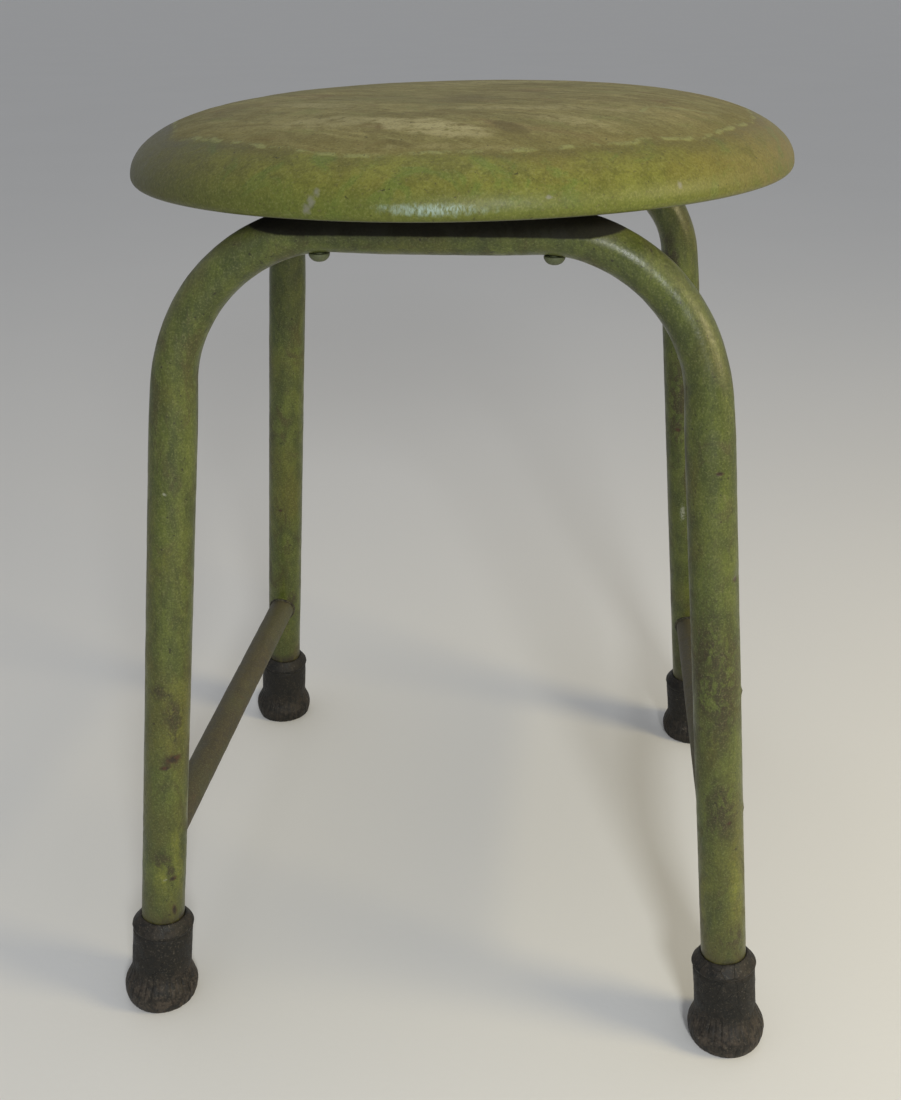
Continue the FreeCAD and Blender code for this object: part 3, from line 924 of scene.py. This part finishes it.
def rear_marks():
    """The same for the rear hoop."""
    return {
        "rust": [
            leg_mark(-1, 1, 0.1950, -5, (2, 2, 1.5)),
            leg_mark(1, 1, 0.2700, -20, (3, 3, 2)),
        ],
        "stain": [
            leg_mark(-1, 1, 0.1160, 40, (8, 8, 8)),
            leg_mark(1, 1, 0.3900, -40, (10, 10, 30)),
            leg_mark(1, 1, 0.2900, -20, (12, 12, 60)),
        ],
        "fresh": [leg_mark(1, 1, 0.4300, 60, (8, 8, 20))],
        "chalk_and_glint": [leg_mark(1, 1, 0.2050, -12, (2.5, 2.5, 9))],
    }


def front_dents():
    """Two dents and two small lumps on the front legs."""
    return [
        (leg_surface(-1, -1, 0.0870, 38), 3.5 * MM, 0.7),
        (leg_surface(1, -1, 0.2840, 62), 3.0 * MM, 0.7),
        (leg_surface(1, -1, 0.2200, 78), 1.8 * MM, -0.9),
        (leg_surface(1, -1, 0.1520, 78), 1.6 * MM, -0.7),
    ]


def build_object():
    """Every piece that stands for CAD nodes, each with its material."""
    paint_front = tube_paint("frame_paint_front", 0.58, 0.30, front_marks())
    # the rear hoop's larger brown share darkens it: browner paint, and painted shade for the rear
    # legs lying farther from the light
    paint_rear_brown_and_shaded = tube_paint("frame_paint_rear_brown_and_shaded", 0.70, 0.22, rear_marks())
    brace_material = brace_paint()
    weld_material = weld_paint()
    rubbers = {-1: rubber("perished_rubber_front", 0.75), 1: rubber("perished_rubber_rear", 0.30)}
    build_hoop("front", -1, paint_front, front_dents())
    build_hoop("rear", 1, paint_rear_brown_and_shaded, [])
    build_seat(seat_paint())
    for name_x, side_x in LEFT_RIGHT.items():
        build_brace(name_x, side_x, brace_material)
        for name_y, side_y in FRONT_REAR.items():
            bead = build_weld(name_x, side_x, name_y, side_y, weld_material)
            foot = build_foot(name_x, side_x, name_y, side_y, rubbers[side_y])


def dress_cad_nodes():
    """The nodes whose CAD shape stays get their own materials."""
    screw = old_steel("screw_steel", 0.7)
    disc = old_steel("disc_steel", 0.0)
    for name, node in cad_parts.items():
        if name == "seat_screws" or name.startswith("foot_disc"):
            material = screw if name == "seat_screws" else disc
            for slot in node.material_slots:
                slot.material = material


def build_floor():
    """A floor wide enough to reach the horizon."""
    half = 40.0
    corners = [(-half, -half, 0), (half, -half, 0), (half, half, 0), (-half, half, 0)]
    mesh = bpy.data.meshes.new("floor")
    mesh.from_pydata(corners, [], [(0, 1, 2, 3)])
    mesh.materials.append(floor_material())
    floor = bpy.data.objects.new("floor", mesh)
    bpy.context.scene.collection.objects.link(floor)


def add_area_light(name, place, target, size, power, colour):
    """A round lamp aimed at a point. Size in metres, power in watts."""
    lamp = bpy.data.lights.new(name, "AREA")
    lamp.shape = "DISK"
    lamp.size = size
    lamp.energy = power
    lamp.color = colour
    holder = bpy.data.objects.new(name, lamp)
    holder.location = place
    aim = Vector(target) - Vector(place)
    holder.rotation_mode = "QUATERNION"
    holder.rotation_quaternion = aim.to_track_quat("-Z", "Y")
    bpy.context.scene.collection.objects.link(holder)


def light_scene():
    """Key light in front and above, a warm light from the right, a wide top light, a grey room."""
    middle = (0.0, 0.0, 0.30)
    add_area_light("key", (0.38, -1.45, 0.98), middle, 0.28, 13.0, (0.98, 1.0, 0.99))
    add_area_light("side", (1.35, -0.38, 0.80), middle, 0.5, 10.5, (1.0, 0.84, 0.47))
    add_area_light("top", (0.1, 0.3, 2.3), middle, 1.6, 3.5, (1.0, 0.99, 0.97))
    world = bpy.data.worlds.new("soft_room")
    world.use_nodes = True
    background = world.node_tree.nodes["Background"]
    background.inputs["Color"].default_value = (0.94, 0.96, 1.0, 1.0)
    background.inputs["Strength"].default_value = 0.42
    bpy.context.scene.world = world
    bpy.context.scene.view_settings.view_transform = "Standard"


def place_camera():
    """Just above the seat in front, a little to the right, looking down at the legs."""
    yaw, pitch, roll = math.radians(-6.52), math.radians(24.64), math.radians(-0.54)
    forward = Vector((
        math.sin(yaw) * math.cos(pitch),
        math.cos(yaw) * math.cos(pitch),
        -math.sin(pitch),
    ))
    level = Vector((math.cos(yaw), -math.sin(yaw), 0))
    upright = level.cross(forward)
    right = level * math.cos(roll) + upright * math.sin(roll)
    up = upright * math.cos(roll) - level * math.sin(roll)
    data = bpy.data.cameras.new("camera")
    data.sensor_width = 36.0
    data.lens = 41.0
    camera = bpy.data.objects.new("camera", data)
    camera.matrix_world = Matrix((
        (right.x, up.x, -forward.x, 0.0746),
        (right.y, up.y, -forward.y, -0.7216),
        (right.z, up.z, -forward.z, 0.5614),
        (0, 0, 0, 1),
    ))
    bpy.context.scene.collection.objects.link(camera)
    bpy.context.scene.camera = camera


build_object()
dress_cad_nodes()
build_floor()
light_scene()
place_camera()
